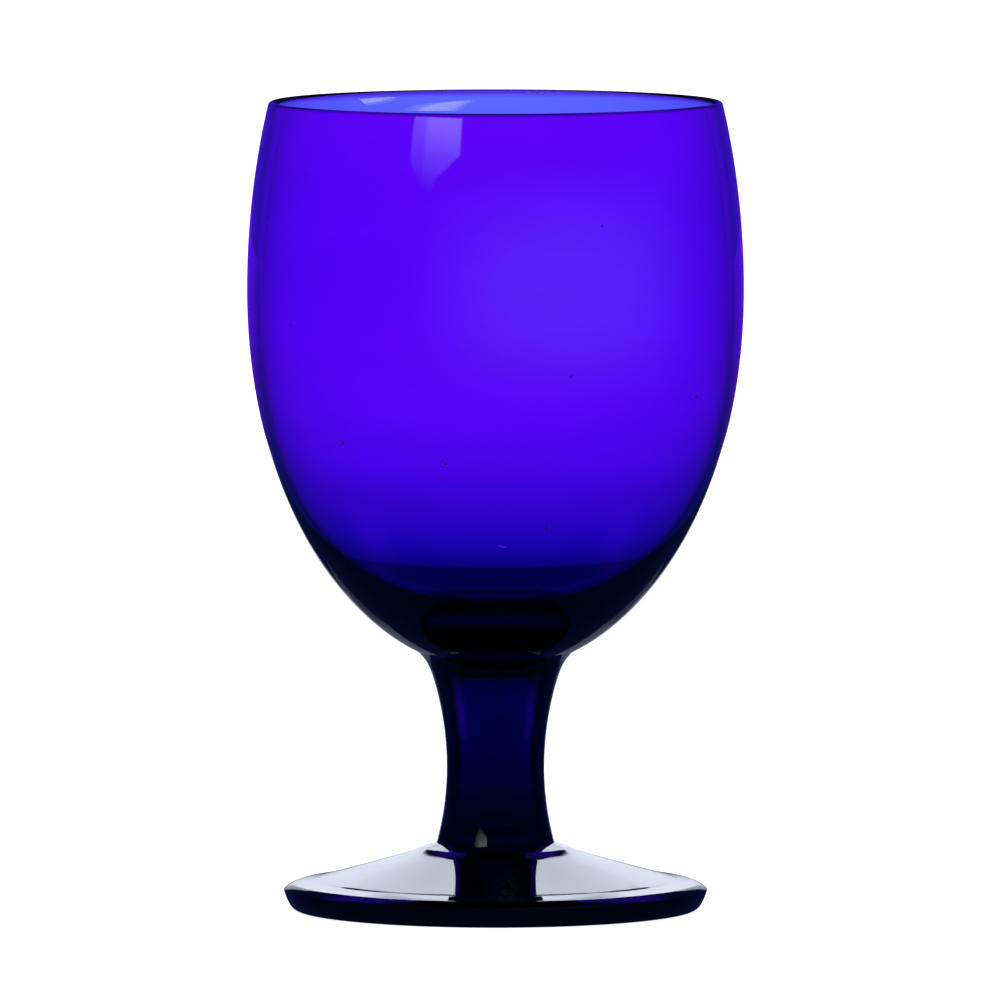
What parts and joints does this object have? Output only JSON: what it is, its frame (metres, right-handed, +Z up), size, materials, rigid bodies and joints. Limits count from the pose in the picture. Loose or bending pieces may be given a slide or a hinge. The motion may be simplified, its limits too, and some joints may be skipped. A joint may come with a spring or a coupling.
{
  "type": "stemmed drinking glass",
  "caption": "Stemmed water or wine goblet in cobalt blue glass: egg-shaped bowl, waisted solid stem and conical foot.",
  "frame": {"origin": "centre of the ring under the foot that the glass stands on", "axes": "+Z up along the axis of the glass, from the foot to the rim"},
  "size_m": [0.089, 0.089, 0.145],
  "materials": {
    "bowl_glass": "fire-polished cobalt blue glass, thin wall",
    "stem_glass": "fire-polished cobalt blue glass, solid",
    "foot_glass": "fire-polished cobalt blue glass, solid"
  },
  "bodies": {
    "root": {"bowl": "bowl_glass", "stem": "stem_glass", "foot": "foot_glass"}
  },
  "joints": []
}
